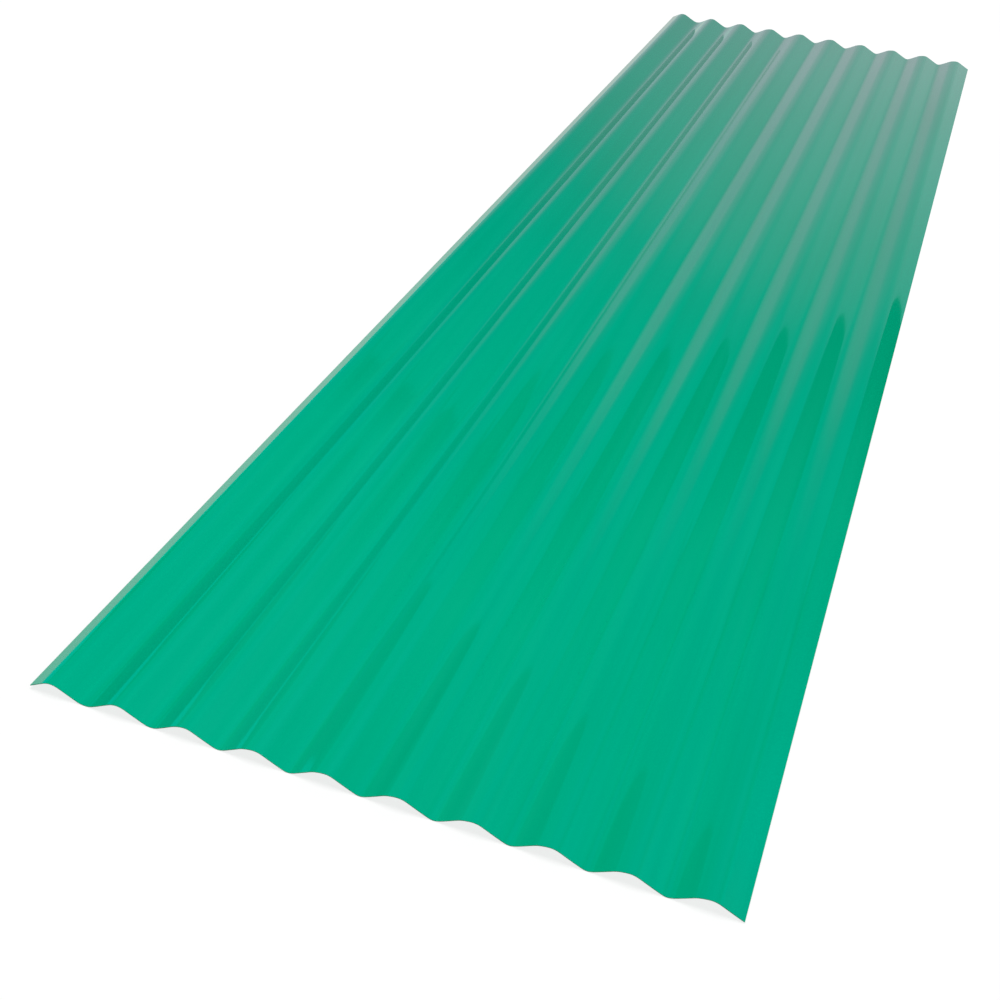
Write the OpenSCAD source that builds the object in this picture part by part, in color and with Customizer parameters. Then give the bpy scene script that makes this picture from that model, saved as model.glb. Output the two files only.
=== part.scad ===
// Corrugated rigid PVC sheet: one extruded sheet, formed into even round waves that run its whole length.
// X runs across the waves, Y along them and Z up. The sheet lies on its troughs, at z = 0.
// Each crest and trough is a round bend, and straight flanks join them.

/* [Sheet] */
// Length of the sheet, along the waves
sheet_length = 2438.4; // [600:0.1:6000]
// Width of the sheet, across the waves
sheet_width = 660.4; // [250:0.1:1300]
// Thickness of the PVC, square to its surface
wall = 0.8; // [0.5:0.05:3]

/* [Waves] */
// Distance from one crest to the next
pitch = 67.733; // [50:0.001:180]
// Depth of the waves, from the underside of a trough to the top of a crest
wave_depth = 14; // [8:0.5:20]
// Radius of each crest and trough, at the middle of the wall
bend_radius = 17; // [10:0.5:25]
// Distance from the left long edge to the first crest
first_crest = 22.4; // [0:0.1:60]

/* [Hidden] */

left_edge = -sheet_width / 2;
right_edge = sheet_width / 2;
crest_x = left_edge + first_crest;
half_pitch = pitch / 2;
quarter = pitch / 4;

// The middle of the wall travels this far above and below the middle of the depth
travel = (wave_depth - wall) / 2;

// Past this radius the bends would meet with no flank left between them
largest_bend = (quarter ^ 2 + travel ^ 2) / (2 * travel);
bend = min(bend_radius, largest_bend);

// A flank is the line that touches a crest bend above and a trough bend below
to_bend = norm([quarter, bend - travel]);
flank_angle = 90 - atan2(bend - travel, quarter) - acos(min(1, bend / to_bend));

// Flat facets stand for each bend: one level facet at its middle, and the rest turned by equal steps to the flanks
steps = 4;
step_angle = flank_angle / steps;

// Bends are numbered from the first crest, so even ones are crests and odd ones are troughs
first_bend = floor(-first_crest / half_pitch) - 1;
last_bend = ceil((sheet_width - first_crest) / half_pitch) + 1;

// A corner between two facets of a bend, on the upper skin for side 1 and on the lower one for side -1
function corner(number, index, side) =
    let (up = number % 2 == 0 ? 1 : -1)
    let (turn = (index + 0.5 - steps) * step_angle)
    let (radius = (bend + up * side * wall / 2) / cos(step_angle / 2))
    [
        crest_x + number * half_pitch + radius * sin(turn),
        wave_depth / 2 + up * (travel - bend + radius * cos(turn))
    ];

function skin(side) = [
    for (number = [first_bend : last_bend], index = [0 : 2 * steps - 1]) corner(number, index, side)
];

function reversed(points) = [for (i = [len(points) - 1 : -1 : 0]) points[i]];

// The waves run past both long edges, where the sheet is cut off straight
module wave_section() {
    intersection() {
        polygon(concat(skin(1), reversed(skin(-1))));
        translate([left_edge, -wave_depth])
            square([sheet_width, 3 * wave_depth]);
    }
}

module corrugated_sheet() {
    color("seagreen")
        rotate([90, 0, 0])
            linear_extrude(height = sheet_length, center = true)
                wave_section();
}

corrugated_sheet();
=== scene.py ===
import math

import bpy
import numpy as np
from mathutils import Matrix, Vector


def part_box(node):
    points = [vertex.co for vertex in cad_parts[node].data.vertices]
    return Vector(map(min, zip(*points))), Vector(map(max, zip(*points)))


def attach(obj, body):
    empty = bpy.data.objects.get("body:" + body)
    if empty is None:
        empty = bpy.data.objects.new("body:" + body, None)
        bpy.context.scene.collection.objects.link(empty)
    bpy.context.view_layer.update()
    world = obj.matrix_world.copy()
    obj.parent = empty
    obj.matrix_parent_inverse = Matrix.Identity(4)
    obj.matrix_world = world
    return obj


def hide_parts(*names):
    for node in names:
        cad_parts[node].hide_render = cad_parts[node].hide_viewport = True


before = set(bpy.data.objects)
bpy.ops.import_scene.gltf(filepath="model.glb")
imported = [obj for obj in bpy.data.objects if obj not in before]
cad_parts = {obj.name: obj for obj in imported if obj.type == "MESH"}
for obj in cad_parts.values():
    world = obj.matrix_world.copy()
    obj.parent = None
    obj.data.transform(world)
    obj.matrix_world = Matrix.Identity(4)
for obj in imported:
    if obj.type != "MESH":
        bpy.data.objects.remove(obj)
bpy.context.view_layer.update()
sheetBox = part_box("corrugated_sheet")
print("frame loaded")


# helpers

def toLinear(hexColour):
    # sRGB hex to linear red, green, blue and alpha
    parts = [int(hexColour[i:i + 2], 16) / 255 for i in (1, 3, 5)]
    return [p / 12.92 if p <= 0.04045 else ((p + 0.055) / 1.055) ** 2.4 for p in parts] + [1.0]


def addNode(tree, kind, settings=None, inputs=None, stops=None):
    # one node with its settings, its inputs, and the stops of a colour ramp as (position, colour)
    # an input is a value, the socket that feeds it, or a node, which stands for its first output
    node = tree.nodes.new(kind)
    for name, value in (settings or {}).items():
        setattr(node, name, value)
    for name, value in (inputs or {}).items():
        if isinstance(value, bpy.types.Node):
            value = value.outputs[0]
        if isinstance(value, bpy.types.NodeSocket):
            tree.links.new(value, node.inputs[name])
        else:
            node.inputs[name].default_value = value
    for index, (position, colour) in enumerate(stops or ()):
        elements = node.color_ramp.elements
        stop = elements[index] if index < 2 else elements.new(position)  # a new ramp has two stops already
        stop.position = position
        stop.color = colour
    return node


def emptyMaterial(name):
    material = bpy.data.materials.new(name)
    material.use_nodes = True
    material.node_tree.nodes.clear()
    return material, material.node_tree


# camera

cameraPlan = {
    "place": (0.3243, -1.9791, 0.8949),  # metres
    "aim": (-0.0440, -0.7526, 0.0),      # the point that it looks at
    "roll": 5.21,                        # degrees, turned about the line of sight
    "lens": 50.17,                       # mm
    "sensor": 36,                        # mm
    "reach": 100,                        # metres
}


def makeCamera(plan):
    data = bpy.data.cameras.new("camera")
    data.lens = plan["lens"]
    data.sensor_width = plan["sensor"]
    data.clip_end = plan["reach"]
    camera = bpy.data.objects.new("camera", data)
    bpy.context.scene.collection.objects.link(camera)
    forward = (Vector(plan["aim"]) - Vector(plan["place"])).normalized()
    level = forward.cross(Vector((0, 0, 1))).normalized()
    above = level.cross(forward)
    roll = math.radians(plan["roll"])
    right = level * math.cos(roll) + above * math.sin(roll)
    up = right.cross(forward)
    turn = Matrix((right, up, -forward)).transposed().to_4x4()
    camera.matrix_world = Matrix.Translation(plan["place"]) @ turn
    bpy.context.scene.camera = camera


makeCamera(cameraPlan)
print("camera placed")


# the sheet

sheet = {
    "pitch": 0.067733,           # crest to crest, metres
    "depth": 0.014,              # underside of a trough to top of a crest
    "wall": 0.0008,
    "bend": 0.017,               # radius of a crest or trough, at the middle of the wall, before easing
    "firstCrest": 0.0224,        # from the long edge
    "easing": 0.2,               # share of a plain cosine in the wave, which eases the bends into the flanks
    "lean": 0.00013,             # makes each left flank a little steeper than the right ones
    "leanShift": -0.045,         # in waves
    "drift": 0.05,               # how far the left flanks stand to the left of even, in waves
    "driftFrom": (0.40, 0.54),   # the part of a wave, from its crest on, over which that comes in
    "driftUntil": (0.79, 0.98),  # and over which it goes out again
    "driftFade": (0.5, 3),       # waves from the first crest over which the drift grows to the whole
    "slack": 0.00012,            # how far the wall strays from a true wave, in slow swells:
    "swells": ((3.1, 9, 0), (5.7, -14, 1.3)),  # radians a metre along and across, and start
    "stepsPerWave": 48,
    "rows": 49,
    "sharpAngle": 50,            # degrees, past which a corner is sharp
}


def smoothStep(value, start, stop):
    # 0 up to start and 1 from stop on, with 3 s^2 - 2 s^3 between them
    share = np.clip((value - start) / (stop - start), 0, 1)
    return share ** 2 * (3 - 2 * share)


def wavesFromFirst(x, plan, crestX):
    # place across the sheet, in waves from the first crest: a smooth step at each trough moves it on, so the
    # left flank comes earlier, and one at the next crest takes it back
    turns = (x - crestX) / plan["pitch"]
    past = turns - np.floor(turns)
    onward = smoothStep(past, *plan["driftFrom"]) - smoothStep(past, *plan["driftUntil"])
    return turns + plan["drift"] * onward * smoothStep(turns, *plan["driftFade"])


def waveHeight(turns, plan, travel):
    # round bends at crest and trough, joined by the straight line that touches both, eased by a little
    # cosine, and a slight second harmonic; travel is the height of a crest over the middle
    quarter = plan["pitch"] / 4
    over = plan["bend"] - travel
    flank = math.pi / 2 - math.atan2(over, quarter) - math.acos(plan["bend"] / math.hypot(quarter, over))
    fromCrest = np.abs(turns - np.round(turns)) * plan["pitch"]
    fromBend = np.minimum(fromCrest, 2 * quarter - fromCrest)
    onBend = travel - plan["bend"] + np.sqrt(plan["bend"] ** 2 - np.minimum(fromBend, quarter) ** 2)
    onFlank = (quarter - fromBend) * math.tan(flank)
    height = np.where(fromBend < plan["bend"] * math.sin(flank), onBend, onFlank)
    height = np.where(fromCrest > quarter, -height, height)
    cosine = travel * np.cos(2 * np.pi * turns)
    uneven = -plan["lean"] * np.sin(4 * np.pi * (turns + plan["leanShift"]))
    return (1 - plan["easing"]) * height + plan["easing"] * cosine + uneven


def wallMiddle(x, y, plan, crestX):
    # height of the wall's middle: the wave across the sheet, plus a slow wander, one sine times one cosine
    travel = (plan["depth"] - plan["wall"]) / 2 - plan["slack"]
    wave = waveHeight(wavesFromFirst(x, plan, crestX), plan, travel)
    phases = [along * y + across * x + start for along, across, start in plan["swells"]]
    return plan["depth"] / 2 + wave + plan["slack"] * np.sin(phases[0]) * np.cos(phases[1])


def makeSheet(name, box, plan):
    # a grid over width and length, raised to the wall's middle, with two skins, two ends and two long edges
    low, high = box
    crestX = low[0] + plan["firstCrest"]
    count = int(round((high[0] - low[0]) / plan["pitch"] * plan["stepsPerWave"])) + 1
    x = np.linspace(low[0], high[0], count)
    y = np.linspace(low[1], high[1], plan["rows"])
    gx, gy = np.meshgrid(x, y)
    z = wallMiddle(gx, gy, plan, crestX)
    nudge = 1e-5  # metres to each side, for the slope
    after, before = (wallMiddle(gx + step, gy, plan, crestX) for step in (nudge, -nudge))
    slope = (after - before) / (2 * nudge)
    # the two skins lie half a wall to each side, square to the wave
    up = plan["wall"] / 2 / np.sqrt(1 + slope ** 2)
    top = np.stack([gx - slope * up, gy, z + up], axis=-1)
    bottom = np.stack([gx + slope * up, gy, z - up], axis=-1)
    rings = np.concatenate([top, bottom[:, ::-1]], axis=1)  # each row runs once round the wall
    rings[..., 0] = np.clip(rings[..., 0], low[0], high[0])
    around = rings.shape[1]
    index = np.arange(rings.shape[0] * around).reshape(rings.shape[0], around)
    ahead = np.roll(index, -1, axis=1)
    skin = np.stack([index[:-1], ahead[:-1], ahead[1:], index[1:]], axis=-1).reshape(-1, 4)
    # end caps: strips of quads from the top skin to the bottom skin
    topRun, lowRun = index[:, :count], index[:, ::-1][:, :count]
    nearCap = np.stack([topRun[0, :-1], lowRun[0, :-1], lowRun[0, 1:], topRun[0, 1:]], axis=-1)
    farCap = np.stack([topRun[-1, :-1], topRun[-1, 1:], lowRun[-1, 1:], lowRun[-1, :-1]], axis=-1)
    faces = np.concatenate([skin, nearCap, farCap])
    # material 0 on the skins, 1 on the sawn ends and long edges
    sawn = np.ones(len(faces), dtype=np.int32)
    longEdge = np.arange(around) % count == count - 1
    sawn[:len(skin)] = np.tile(longEdge, rings.shape[0] - 1)
    mesh = bpy.data.meshes.new(name)
    mesh.from_pydata(rings.reshape(-1, 3), [], faces)
    mesh.polygons.foreach_set("use_smooth", np.ones(len(faces), dtype=bool))
    mesh.polygons.foreach_set("material_index", sawn)
    mesh.set_sharp_from_angle(angle=math.radians(plan["sharpAngle"]))
    mesh.update()
    piece = bpy.data.objects.new(name, mesh)
    bpy.context.scene.collection.objects.link(piece)
    return piece


sheetPiece = makeSheet("corrugated_pvc_sheet", sheetBox, sheet)
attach(sheetPiece, "root")
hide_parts("corrugated_sheet")
print("sheet made:", len(sheetPiece.data.polygons), "faces")


# extruded glossy rigid PVC, coloured right through: the polished rolls leave a skin that mirrors sharply, and
# drawing it off leaves faint streaks of pigment, gloss and ripple along the run

pvc = {
    "shades": ((0.36, "#00A77C"),                 # where the pigment is richer
               (0.50, "#00AA80"),
               (0.64, "#04AC83")),                # and where it is thinner
    "roughness": (0.026, 0.05),                   # from the clearest to the haziest
    "roughnessSpan": (0.35, 0.65),                # and the pigment's values there
    # patterns: size in metres across, along and up, detail, and the slice of noise that each one takes
    "streaks": ((0.011, 0.9, 0.9), 3.0, 3.1),
    "patches": ((0.12, 0.48, 0.12), 2.0, 7.7),    # slow change in colour and gloss
    "dieLines": ((0.003, 0.9, 0.9), 2.0, 12.9),   # they are really 1 mm apart, too fine to show
    "ripple": ((0.0875, 0.035, 1.0), 0.0, 21.3),  # soft ripple from drawing the hot sheet off
    "dieLineHeight": 0.0000035,                   # metres
    "rippleHeight": 0.000012,
    "ior": 1.53,
    "glossTint": (0.0, 1.0, 1.0, 1.0),            # seen straight on it has no red, so the green stays deep
}


def extrudedGlossyPvc(plan):
    material, tree = emptyMaterial("extruded glossy rigid PVC")
    place = addNode(tree, "ShaderNodeTexCoord").outputs["Object"]
    patterns = {}
    for name in ("streaks", "patches", "dieLines", "ripple"):
        size, detail, seed = plan[name]
        scaled = addNode(tree, "ShaderNodeMapping", None, {
            "Vector": place, "Location": (seed, seed, seed), "Scale": [1 / part for part in size]})
        patterns[name] = addNode(tree, "ShaderNodeTexNoise", None, {
            "Vector": scaled, "Scale": 1.0, "Detail": detail, "Roughness": 0.5}).outputs["Fac"]

    # pigment and haze follow the streaks and the patches, half and half
    half = addNode(tree, "ShaderNodeMath", {"operation": "MULTIPLY"}, {0: patterns["streaks"], 1: 0.5})
    pigment = addNode(tree, "ShaderNodeMath", {"operation": "MULTIPLY_ADD"},
                      {0: patterns["patches"], 1: 0.5, 2: half})
    colour = addNode(tree, "ShaderNodeValToRGB", None, {"Fac": pigment},
                     [(position, toLinear(shade)) for position, shade in plan["shades"]])
    clear, hazy = plan["roughness"]
    start, stop = plan["roughnessSpan"]
    haze = addNode(tree, "ShaderNodeMapRange", None, {
        "Value": pigment, "From Min": start, "From Max": stop, "To Min": clear, "To Max": hazy})

    lines = addNode(tree, "ShaderNodeBump", None, {
        "Strength": 1.0, "Distance": plan["dieLineHeight"], "Height": patterns["dieLines"]})
    surface = addNode(tree, "ShaderNodeBump", None, {
        "Strength": 1.0, "Distance": plan["rippleHeight"], "Height": patterns["ripple"], "Normal": lines})
    shader = addNode(tree, "ShaderNodeBsdfPrincipled", None, {
        "Base Color": colour,
        "Roughness": haze,
        "IOR": plan["ior"],
        "Specular Tint": plan["glossTint"],
        "Normal": surface,
    })
    addNode(tree, "ShaderNodeOutputMaterial", None, {"Surface": shader})
    return material


# saw-cut rigid PVC: the same green, but the blade leaves it matt and scored, so it mirrors nothing

cutEdge = {
    "shades": ((0.40, "#009E74"),
               (0.65, "#12936F")),                 # dust and bruising in the saw marks
    "roughness": (0.45, 0.7),
    "roughnessSpan": (0.35, 0.65),
    "marks": ((0.0015, 0.0015, 0.006), 2.0, 5.3),  # they are really 0.3 mm apart, too fine to show
    "markHeight": 0.00006,                         # metres
    "ior": 1.53,
    "gloss": 0.3,
}


def sawCutPvc(plan):
    material, tree = emptyMaterial("saw-cut rigid PVC")
    place = addNode(tree, "ShaderNodeTexCoord").outputs["Object"]
    size, detail, seed = plan["marks"]
    scaled = addNode(tree, "ShaderNodeMapping", None, {
        "Vector": place, "Location": (seed, seed, seed), "Scale": [1 / part for part in size]})
    marks = addNode(tree, "ShaderNodeTexNoise", None, {
        "Vector": scaled, "Scale": 1.0, "Detail": detail, "Roughness": 0.5}).outputs["Fac"]
    colour = addNode(tree, "ShaderNodeValToRGB", None, {"Fac": marks},
                     [(position, toLinear(shade)) for position, shade in plan["shades"]])
    smooth, rough = plan["roughness"]
    start, stop = plan["roughnessSpan"]
    dull = addNode(tree, "ShaderNodeMapRange", None, {
        "Value": marks, "From Min": start, "From Max": stop, "To Min": smooth, "To Max": rough})
    surface = addNode(tree, "ShaderNodeBump", None, {
        "Strength": 1.0, "Distance": plan["markHeight"], "Height": marks})
    shader = addNode(tree, "ShaderNodeBsdfPrincipled", None, {
        "Base Color": colour,
        "Roughness": dull,
        "IOR": plan["ior"],
        "Specular IOR Level": plan["gloss"],
        "Normal": surface,
    })
    addNode(tree, "ShaderNodeOutputMaterial", None, {"Surface": shader})
    return material


sheetPiece.data.materials.append(extrudedGlossyPvc(pvc))
sheetPiece.data.materials.append(sawCutPvc(cutEdge))
print("materials made")


# floor and lamps

studio = {
    "floor": "#F7F7F7",
    "floorReach": 40,           # metres each way
    "floorSeen": 1.02,          # how bright the open floor looks, where 1 is white
    "shadow": 0.2,              # how much of the floor's own shading the camera sees
    "skyLevel": 0.12,           # light from all round
    "lamps": [((-0.1, -1.0, 1.9), 1.0, 0.89),   # place, width, and light straight under it
              ((1.0, 1.05, 1.6), 0.8, 0.33)],
    "sideLevel": 0.15,          # light from the right, on a surface that faces it
    "sideRise": 30,             # degrees above the floor
    "sideSpread": 25,           # degrees, how soft it is
}


def makeFloor(plan):
    reach = plan["floorReach"]
    mesh = bpy.data.meshes.new("floor")
    mesh.from_pydata([(-reach, -reach, 0), (reach, -reach, 0), (reach, reach, 0), (-reach, reach, 0)],
                     [], [(0, 1, 2, 3)])
    floor = bpy.data.objects.new("floor", mesh)
    bpy.context.scene.collection.objects.link(floor)
    material, tree = emptyMaterial("matt white studio floor")
    matt = addNode(tree, "ShaderNodeBsdfDiffuse", None, {"Color": toLinear(plan["floor"])})
    # the camera sees the floor lifted to white by just what the lamps' falling away leaves dark: a lamp's
    # light falls as 1 over the square of (1 + distance squared over height squared)
    shade = toLinear(plan["floor"])[0] * plan["shadow"]
    evenLevel = plan["skyLevel"] + plan["sideLevel"] * math.sin(math.radians(plan["sideRise"]))
    lift = plan["floorSeen"] - shade * evenLevel
    place = addNode(tree, "ShaderNodeTexCoord").outputs["Object"]
    for (lampX, lampY, lampZ), _, level in plan["lamps"]:
        offset = addNode(tree, "ShaderNodeVectorMath", {"operation": "SUBTRACT"},
                         {0: place, 1: (lampX, lampY, 0)})
        square = addNode(tree, "ShaderNodeVectorMath", {"operation": "DOT_PRODUCT"}, {0: offset, 1: offset})
        span = addNode(tree, "ShaderNodeMath", {"operation": "MULTIPLY_ADD"},
                       {0: square.outputs["Value"], 1: 1 / lampZ ** 2, 2: 1.0})
        fall = addNode(tree, "ShaderNodeMath", {"operation": "POWER"}, {0: span, 1: -2.0})
        lift = addNode(tree, "ShaderNodeMath", {"operation": "MULTIPLY_ADD"},
                       {0: fall, 1: -shade * level, 2: lift})
    own = addNode(tree, "ShaderNodeEmission", None, {"Strength": lift})
    dim = addNode(tree, "ShaderNodeBsdfDiffuse", None, {"Color": (shade, shade, shade, 1.0)})
    seen = addNode(tree, "ShaderNodeAddShader", None, {0: dim, 1: own})
    path = addNode(tree, "ShaderNodeLightPath").outputs
    direct = addNode(tree, "ShaderNodeMath", {"operation": "MAXIMUM"},
                     {0: path["Is Camera Ray"], 1: path["Is Glossy Ray"]})
    looked = addNode(tree, "ShaderNodeMath", {"operation": "MAXIMUM"},
                     {0: direct, 1: path["Is Transmission Ray"]})
    pick = addNode(tree, "ShaderNodeMixShader", None, {0: looked, 1: matt, 2: seen})
    addNode(tree, "ShaderNodeOutputMaterial", None, {"Surface": pick})
    mesh.materials.append(material)


def makeLamps(plan):
    # soft square lamps overhead: the stronger one is near the front and slightly to the left, so that light
    # falls away along the sheet, and the weaker one is farther back and to the right
    for number, (place, width, level) in enumerate(plan["lamps"]):
        data = bpy.data.lights.new("softbox %d" % number, "AREA")
        data.shape = "SQUARE"
        data.size = width
        data.energy = level * math.pi ** 2 * place[2] ** 2  # the power that gives the level straight under it
        lamp = bpy.data.objects.new(data.name, data)
        lamp.location = place
        lamp.visible_glossy = False
        lamp.visible_camera = False
        bpy.context.scene.collection.objects.link(lamp)
    # and weaker light from the right, the same all along
    data = bpy.data.lights.new("side light", "SUN")
    data.angle = math.radians(plan["sideSpread"])
    data.energy = plan["sideLevel"] * math.pi
    lamp = bpy.data.objects.new(data.name, data)
    lamp.rotation_euler = (0, math.radians(90 - plan["sideRise"]), 0)
    lamp.visible_glossy = False
    bpy.context.scene.collection.objects.link(lamp)


makeFloor(studio)
makeLamps(studio)
print("floor and lamps made")


# what the gloss mirrors: a hall with a bright opening beyond the far end of the sheet. Angles are in degrees:
# turn is to the right of the far end, leftward to its left, and rise up from the floor

surround = {
    "brightness": 1.15,  # of all the colours here
    # bands of colour: (degrees, red, green, blue)
    "rise": [(34, 0, 0.38, 0.4), (40, 0, 0.39, 0.45), (45, 0, 0.45, 0.62), (50, 0, 0.52, 0.68),
             (56, 0, 0.75, 0.8), (80, 0.8, 0.85, 0.85)],
    "left": [(20, 0, 0.46, 0.47), (32, 0, 0.57, 0.54), (44, 0, 0.78, 0.6), (50, 0, 1, 0.8),
             (56, 0, 1, 1), (70, 0.9, 0.95, 0.95)],
    "opening": [(13, 0.95, 0.8, 0.95), (14.5, 0.76, 0.72, 0.82), (23.5, 0.26, 0.52, 0.58),
                (26, 0.06, 0.45, 0.5), (29, 0, 0.41, 0.45), (33, 0, 0, 0)],
    "right": [(20, 0, 0.2, 0.12), (23, 0, 0.22, 0.08), (28, 0, 0.45, 0.25), (34, 0, 0.64, 0.54),
              (43, 0, 0.95, 1), (70, 0.9, 0.95, 0.95)],
    # the opening's shape: what a degree sideways counts for, against a degree up
    "rightWidth": 0.88,
    "leftWidth": ((4, 0.885), (9, 0.775)),  # at two rises, and steady beyond them
    "outerWidth": 0.54,                     # farther out on the left
    "outerStart": ((4, 8), (9, 6.2)),       # degrees added there, at two rises
    # the dark wall on its right, whose edge leans in by wallLean times the square of the degrees past a rise
    "wallEdge": 19.9,
    "wallLean": 0.018,
    "wallLeanRise": (14, 26),               # where the lean begins and ends
    "wallTop": ((34, 1), (41, 0)),          # how much of it is there, at two rises
    # the dark line of the arch that closes the opening's top, and sinks in the same way past a turn
    "archLine": [(35.2, 1), (35.5, 0), (36.5, 0.2), (38.5, 1)],  # rise, and how much light is left
    "archSink": 0.04,
    "archSinkTurn": 9,
    "archDepth": ((-10, 0.2), (18, 0.85)),  # how strong it is, at two turns
    # a dark panel on the left
    "panel": ((46.5, 4.5), (17, 12)),       # middle and half size, leftward and up
    "panelEdge": ((0.9, 1), (1, 0)),        # how much of it is there, at two shares of the half size
    "panelColour": (0.0, 0.5, 0.28, 1.0),
    # and light all round at the horizon
    "horizon": ((-1, 1), (2.5, 0)),         # how much of it is there, at two rises
    "horizonColour": (0.0, 0.9, 0.85, 1.0),
}


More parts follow.
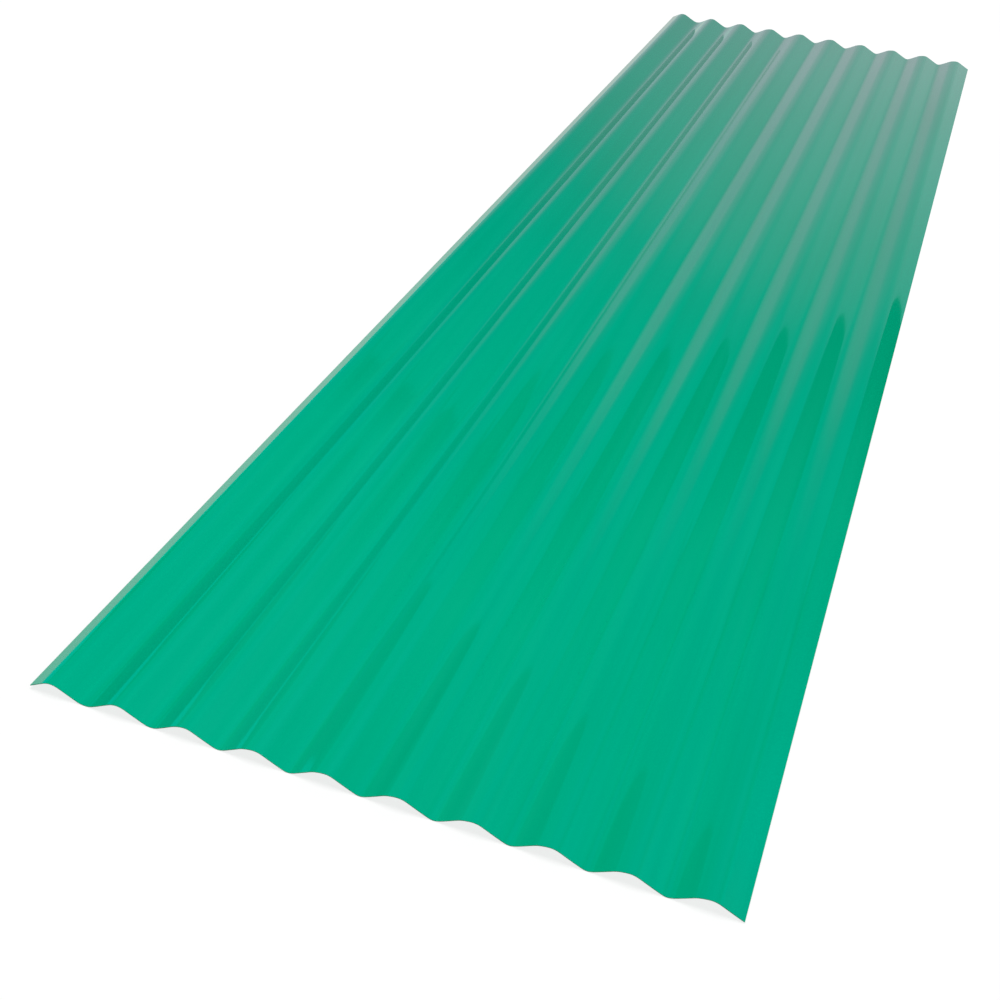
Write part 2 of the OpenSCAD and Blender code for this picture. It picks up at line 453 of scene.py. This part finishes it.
def makeWorld(plan, skyLevel):
    world = bpy.data.worlds.new("studio")
    world.use_nodes = True
    tree = world.node_tree
    tree.nodes.clear()
    ray = addNode(tree, "ShaderNodeTexCoord").outputs["Generated"]
    part = addNode(tree, "ShaderNodeSeparateXYZ", None, {"Vector": ray}).outputs
    rightAngle = 90  # degrees; a ramp runs from 0 to 1, so angles go through the nodes as shares of it
    turned = addNode(tree, "ShaderNodeMath", {"operation": "ARCTAN2"}, {0: part["X"], 1: part["Y"]})
    raised = addNode(tree, "ShaderNodeMath", {"operation": "ARCSINE"}, {0: part["Z"]})
    turn = addNode(tree, "ShaderNodeMath", {"operation": "MULTIPLY"}, {0: turned, 1: 2 / math.pi})
    rise = addNode(tree, "ShaderNodeMath", {"operation": "MULTIPLY"}, {0: raised, 1: 2 / math.pi})
    leftward = addNode(tree, "ShaderNodeMath", {"operation": "MULTIPLY"}, {0: turn, 1: -1.0})

    # values that go steadily from one to another between two angles; unit turns those that are angles too
    # into shares
    leanFrom, leanUntil = plan["wallLeanRise"]
    slopes = {}
    for name, feed, unit, ends in (
            ("leftWidth", rise, 1, plan["leftWidth"]),
            ("outerStart", rise, rightAngle, plan["outerStart"]),
            ("pastLean", rise, rightAngle, ((leanFrom, 0), (leanUntil, leanUntil - leanFrom))),
            ("wallTop", rise, 1, plan["wallTop"]),
            ("archDepth", turn, 1, plan["archDepth"]),
            ("horizon", rise, 1, plan["horizon"])):
        (start, valueThere), (stop, valueAfter) = ends
        slopes[name] = addNode(tree, "ShaderNodeMapRange", None, {
            "Value": feed, "From Min": start / rightAngle, "From Max": stop / rightAngle,
            "To Min": valueThere / unit, "To Max": valueAfter / unit})

    # distance out from the middle of the opening
    near = addNode(tree, "ShaderNodeMath", {"operation": "MULTIPLY"}, {0: leftward, 1: slopes["leftWidth"]})
    outer = addNode(tree, "ShaderNodeMath", {"operation": "MULTIPLY_ADD"},
                    {0: leftward, 1: plan["outerWidth"], 2: slopes["outerStart"]})
    onLeft = addNode(tree, "ShaderNodeMath", {"operation": "MINIMUM"}, {0: near, 1: outer})
    onRight = addNode(tree, "ShaderNodeMath", {"operation": "MULTIPLY"}, {0: turn, 1: plan["rightWidth"]})
    sideways = addNode(tree, "ShaderNodeMath", {"operation": "MAXIMUM"}, {0: onRight, 1: onLeft})
    plane = addNode(tree, "ShaderNodeCombineXYZ", None, {"X": sideways, "Y": rise})
    away = addNode(tree, "ShaderNodeVectorMath", {"operation": "LENGTH"}, {0: plane}).outputs["Value"]

    # the wall on the right: its own turn, and where it shows
    leanSquare = addNode(tree, "ShaderNodeMath", {"operation": "POWER"}, {0: slopes["pastLean"], 1: 2.0})
    wallTurn = addNode(tree, "ShaderNodeMath", {"operation": "MULTIPLY_ADD"},
                       {0: leanSquare, 1: plan["wallLean"] * rightAngle, 2: turn})
    past = addNode(tree, "ShaderNodeMath", {"operation": "GREATER_THAN"},
                   {0: wallTurn, 1: plan["wallEdge"] / rightAngle})
    wall = addNode(tree, "ShaderNodeMath", {"operation": "MULTIPLY"}, {0: past, 1: slopes["wallTop"]})

    # the arch, to the left of the wall's edge
    bowed = addNode(tree, "ShaderNodeMath", {"operation": "SUBTRACT", "use_clamp": True},
                    {0: turn, 1: plan["archSinkTurn"] / rightAngle})
    sink = addNode(tree, "ShaderNodeMath", {"operation": "POWER"}, {0: bowed, 1: 2.0})
    archRise = addNode(tree, "ShaderNodeMath", {"operation": "MULTIPLY_ADD"},
                       {0: sink, 1: plan["archSink"] * rightAngle, 2: rise})
    arch = addNode(tree, "ShaderNodeValToRGB", None, {"Fac": archRise},
                   [(degrees / rightAngle, (level, level, level, 1)) for degrees, level in plan["archLine"]])
    beside = addNode(tree, "ShaderNodeMath", {"operation": "SUBTRACT"}, {0: 1.0, 1: past})
    archShare = addNode(tree, "ShaderNodeMath", {"operation": "MULTIPLY"},
                        {0: slopes["archDepth"], 1: beside})

    # the panel: distance from its middle, in half sizes, the greater of the two ways
    reach = []
    for feed, (middle, half) in zip((leftward, rise), plan["panel"]):
        offset = addNode(tree, "ShaderNodeMath", {"operation": "MULTIPLY_ADD"},
                         {0: feed, 1: rightAngle / half, 2: -middle / half})
        reach.append(addNode(tree, "ShaderNodeMath", {"operation": "ABSOLUTE"}, {0: offset}))
    out = addNode(tree, "ShaderNodeMath", {"operation": "MAXIMUM"}, {0: reach[0], 1: reach[1]})
    (inside, whole), (outside, none) = plan["panelEdge"]
    panel = addNode(tree, "ShaderNodeMapRange", None, {
        "Value": out, "From Min": inside, "From Max": outside, "To Min": whole, "To Max": none})

    bands = {}
    for name, feed in (("rise", rise), ("left", leftward), ("opening", away), ("right", wallTurn)):
        bands[name] = addNode(tree, "ShaderNodeValToRGB", None, {"Fac": feed},
                              [(degrees / rightAngle, (*colour, 1)) for degrees, *colour in plan[name]])

    # each layer goes over the ones before it
    # in a Mix node of colours, sockets 0, 6 and 7 are the share and the two colours, and 2 is what comes out
    colour = bands["rise"]
    for blend, share, layer in (
            ("LIGHTEN", 1.0, bands["left"]),
            ("LIGHTEN", 1.0, bands["opening"]),
            ("MIX", wall, bands["right"]),
            ("MULTIPLY", archShare, arch),
            ("MIX", panel, plan["panelColour"]),
            ("LIGHTEN", slopes["horizon"], plan["horizonColour"])):
        colour = addNode(tree, "ShaderNodeMix", {"data_type": "RGBA", "blend_type": blend},
                         {0: share, 6: colour, 7: layer}).outputs[2]

    mirrored = addNode(tree, "ShaderNodeBackground", None, {"Color": colour, "Strength": plan["brightness"]})
    sky = addNode(tree, "ShaderNodeBackground", None, {"Color": (1, 1, 1, 1), "Strength": skyLevel})
    white = addNode(tree, "ShaderNodeBackground", None, {"Color": (1, 1, 1, 1), "Strength": 1.0})
    path = addNode(tree, "ShaderNodeLightPath").outputs
    clear = addNode(tree, "ShaderNodeMath", {"operation": "MAXIMUM"},
                    {0: path["Is Camera Ray"], 1: path["Is Transmission Ray"]})
    room = addNode(tree, "ShaderNodeMixShader", None, {0: path["Is Glossy Ray"], 1: sky, 2: mirrored})
    seen = addNode(tree, "ShaderNodeMixShader", None, {0: clear, 1: room, 2: white})
    addNode(tree, "ShaderNodeOutputWorld", None, {"Surface": seen})
    bpy.context.scene.world = world


makeWorld(surround, studio["skyLevel"])
bpy.context.scene.view_settings.view_transform = "Standard"
print("surround made")
